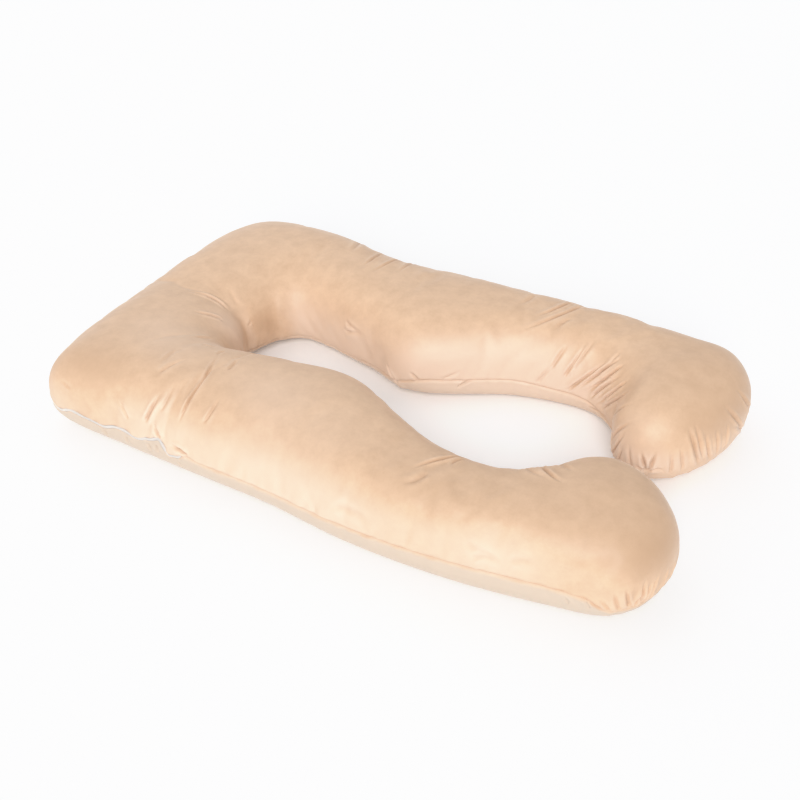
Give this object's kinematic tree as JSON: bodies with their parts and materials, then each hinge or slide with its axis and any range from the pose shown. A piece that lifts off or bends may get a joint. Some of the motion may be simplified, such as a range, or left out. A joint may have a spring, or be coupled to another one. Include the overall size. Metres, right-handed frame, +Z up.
{
  "type": "body pillow",
  "caption": "U-shaped body pillow of two velour panels sewn along one seam at mid height and filled, with rounded feet, a wavy inner edge and a zip set in the seam at the head end.",
  "frame": {"origin": "on the floor, under the middle of the part's bounding box, in the open space of the U", "axes": "+X along the pillow from the closed head end towards the open feet, +Y across from the near leg to the far leg, +Z up"},
  "size_m": [1.4391, 0.8773, 0.2032],
  "materials": {
    "velour": "matt, with a soft sheen at grazing angles",
    "zip_nylon": "satin"
  },
  "bodies": {
    "root": {"pillow": "velour", "zip": "zip_nylon"}
  },
  "joints": []
}
